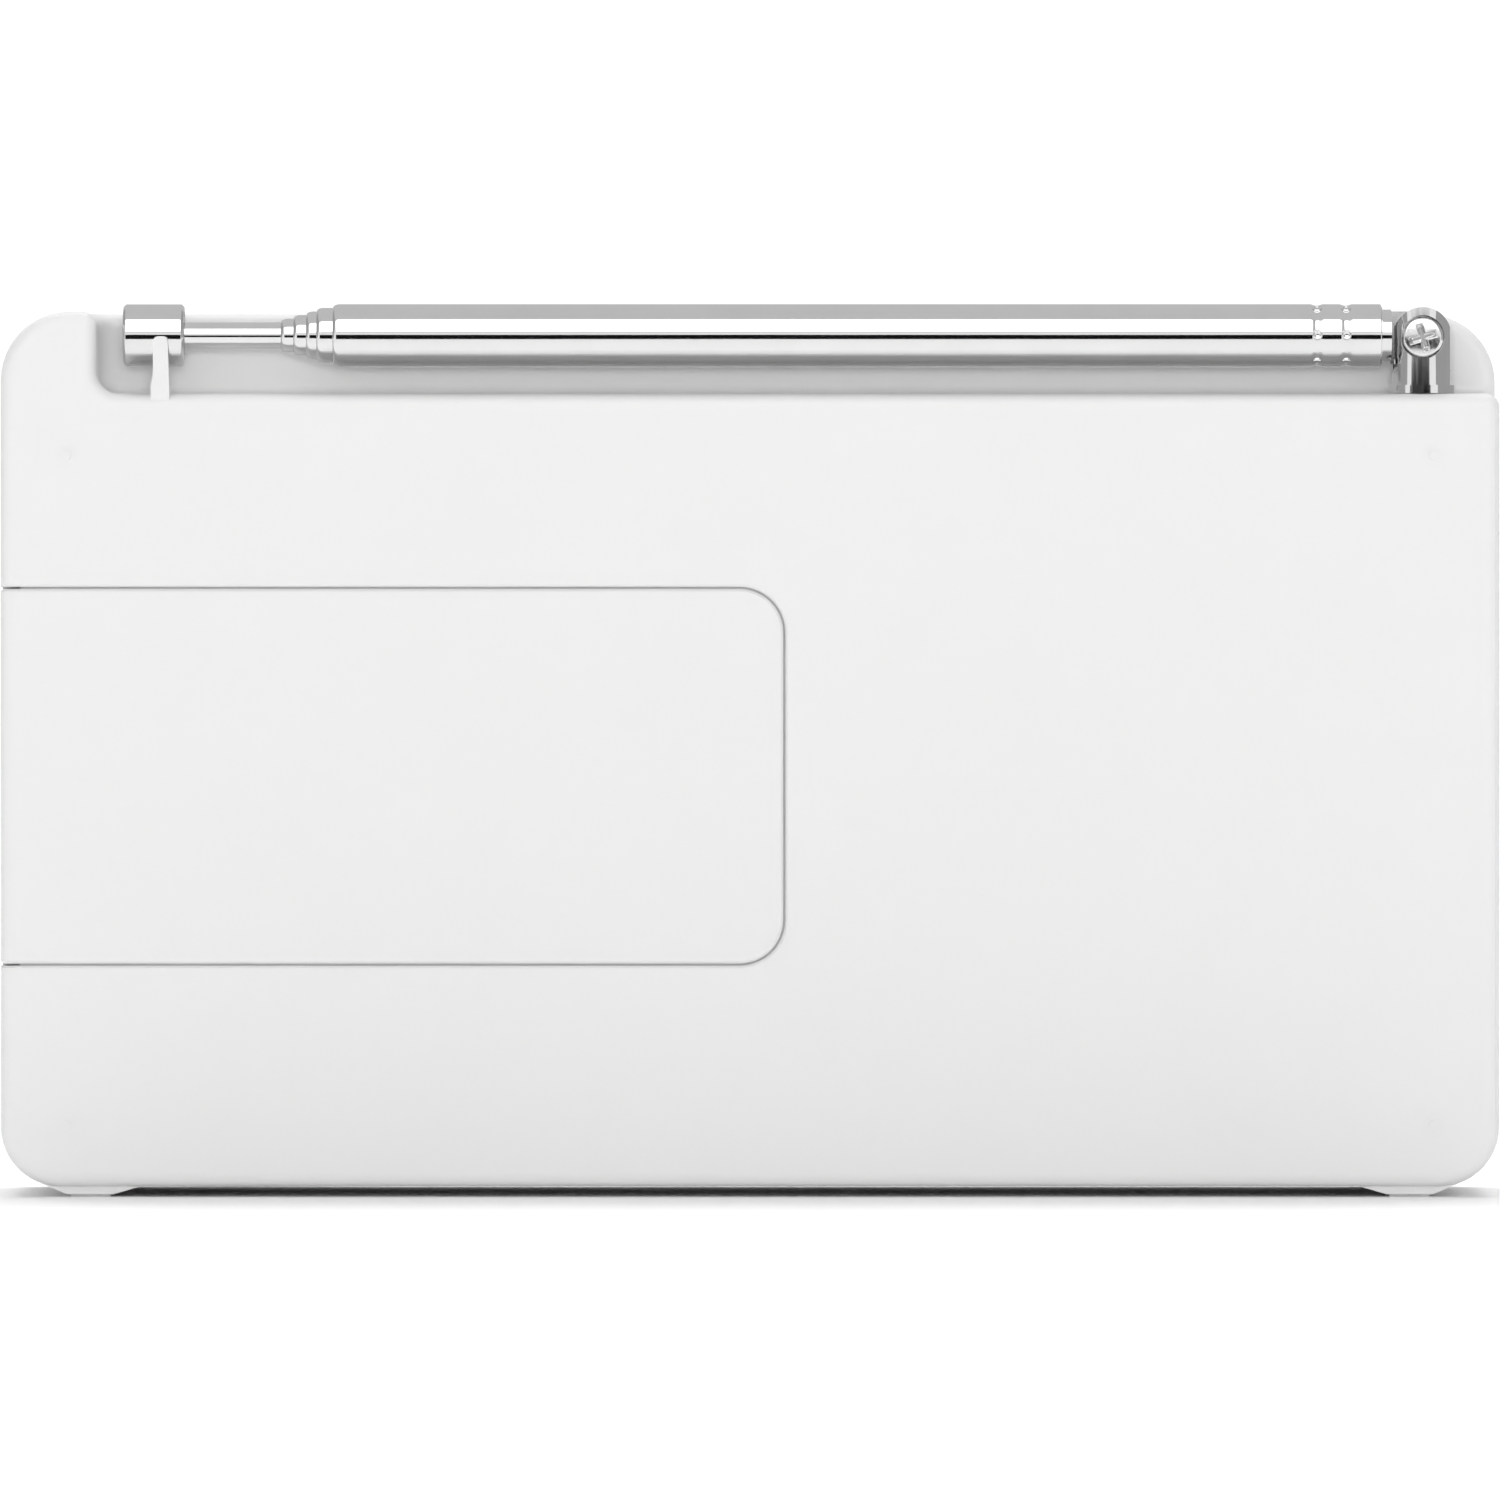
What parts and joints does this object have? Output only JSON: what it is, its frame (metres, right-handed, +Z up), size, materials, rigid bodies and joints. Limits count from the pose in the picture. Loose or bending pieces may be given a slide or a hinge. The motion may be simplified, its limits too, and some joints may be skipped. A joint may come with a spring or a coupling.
{
  "type": "tabletop radio",
  "caption": "Small portable table radio: two-part white case, sliding battery door, swivelling and tilting rod antenna, round grille, display, keys and a tuning knob.",
  "frame": {"origin": "centre of the bounding box's base, on the surface that the radio stands on", "axes": "+X to the right seen from the front and along the length, +Y to the rear, +Z up"},
  "size_m": [0.165, 0.0444, 0.0984],
  "materials": {
    "case_white": "satin moulded, fine texture",
    "key_grey": "satin",
    "knob_grey": "satin",
    "foot_rubber": "matte",
    "antenna_chrome": "polished",
    "plain_steel": "zinc plated",
    "grille_metal": "satin",
    "window_clear": "polished",
    "lcd_face": "semi gloss",
    "dark_plastic": "moulded",
    "tray_plastic": "moulded",
    "board_green": "solder mask",
    "magnet_black": "coated ferrite",
    "cone_paper": "pressed fibre",
    "surround_rubber": "matte",
    "copper_wire": "enamelled",
    "cell_sleeve": "printed sleeve, plain",
    "lead_sleeve": "insulation",
    "ribbon_grey": "insulation"
  },
  "bodies": {
    "case": {"front_shell": "case_white", "rear_cover": "case_white", "antenna_clip": "case_white", "foot_pads": "foot_rubber", "antenna_lug": "plain_steel", "speaker_frame": "plain_steel", "speaker_plate": "plain_steel", "speaker_yoke": "plain_steel", "speaker_screws": "plain_steel", "tuner_shield": "plain_steel", "board_screws": "plain_steel", "battery_contacts": "plain_steel", "battery_springs": "plain_steel", "case_screws": "plain_steel", "speaker_grille": "grille_metal", "display_window": "window_clear", "lcd_panel": "lcd_face", "lcd_frame": "dark_plastic", "tact_switches": "dark_plastic", "knob_encoder": "dark_plastic", "board_chips": "dark_plastic", "headphone_jack": "dark_plastic", "dc_socket": "dark_plastic", "battery_tray": "tray_plastic", "display_board": "board_green", "main_board": "board_green", "speaker_magnet": "magnet_black", "speaker_surround": "surround_rubber", "battery_cells": "cell_sleeve", "board_capacitors": "cell_sleeve", "antenna_lead": "lead_sleeve", "speaker_leads": "lead_sleeve", "battery_leads": "lead_sleeve", "ribbon_cable": "ribbon_grey"},
    "antenna_swivel": {"antenna_base": "antenna_chrome", "antenna_pivot_screw": "antenna_chrome", "antenna_washer": "plain_steel", "antenna_nut": "plain_steel"},
    "antenna_mast": {"antenna_knuckle": "antenna_chrome", "antenna_tube_1": "antenna_chrome", "antenna_tube_2": "antenna_chrome", "antenna_tube_3": "antenna_chrome", "antenna_tube_4": "antenna_chrome", "antenna_tube_5": "antenna_chrome", "antenna_rod": "antenna_chrome", "antenna_tip": "antenna_chrome"},
    "battery_door": {"battery_door": "case_white"},
    "tuning_knob": {"tuning_knob": "knob_grey", "encoder_shaft": "plain_steel"},
    "speaker_cone": {"speaker_cone": "cone_paper", "dust_cap": "cone_paper", "voice_coil": "copper_wire"},
    "volume_down_key": {"volume_down_key": "key_grey"},
    "volume_up_key": {"volume_up_key": "key_grey"},
    "preset_down_key": {"preset_down_key": "key_grey"},
    "preset_up_key": {"preset_up_key": "key_grey"},
    "power_key": {"power_key": "key_grey"},
    "mode_key": {"mode_key": "key_grey"}
  },
  "joints": [
    {"name": "antenna_swivel_turn", "type": "hinge", "parent": "case", "child": "antenna_swivel", "pos_m": [-0.0741, 0.0171, 0.09466], "axis": [0, 0, 1], "range_deg": [0, 180], "deforming": ["antenna_clip"]},
    {"name": "antenna_tilt", "type": "hinge", "parent": "antenna_swivel", "child": "antenna_mast", "pos_m": [-0.0741, 0.0171, 0.09466], "axis": [0, -1, 0], "range_deg": [0, 90]},
    {"name": "battery_door_slide", "type": "slide", "parent": "case", "child": "battery_door", "axis": [1, 0, 0], "range_m": [0, 0.088]},
    {"name": "tuning_knob_turn", "type": "hinge", "parent": "case", "child": "tuning_knob", "pos_m": [0.058, 0, 0.017], "axis": [0, 1, 0], "continuous": true},
    {"name": "speaker_cone_travel", "type": "slide", "parent": "case", "child": "speaker_cone", "axis": [0, 1, 0], "range_m": [-0.0008, 0.0008], "stiffness_N_per_m": 1200},
    {"name": "volume_down_key_press", "type": "slide", "parent": "case", "child": "volume_down_key", "axis": [0, 1, 0], "range_m": [0, 0.0005], "stiffness_N_per_m": 400},
    {"name": "volume_up_key_press", "type": "slide", "parent": "case", "child": "volume_up_key", "axis": [0, 1, 0], "range_m": [0, 0.0005], "stiffness_N_per_m": 400},
    {"name": "preset_down_key_press", "type": "slide", "parent": "case", "child": "preset_down_key", "axis": [0, 1, 0], "range_m": [0, 0.0005], "stiffness_N_per_m": 400},
    {"name": "preset_up_key_press", "type": "slide", "parent": "case", "child": "preset_up_key", "axis": [0, 1, 0], "range_m": [0, 0.0005], "stiffness_N_per_m": 400},
    {"name": "power_key_press", "type": "slide", "parent": "case", "child": "power_key", "axis": [0, 1, 0], "range_m": [0, 0.0005], "stiffness_N_per_m": 400},
    {"name": "mode_key_press", "type": "slide", "parent": "case", "child": "mode_key", "axis": [0, 1, 0], "range_m": [0, 0.0005], "stiffness_N_per_m": 400}
  ]
}
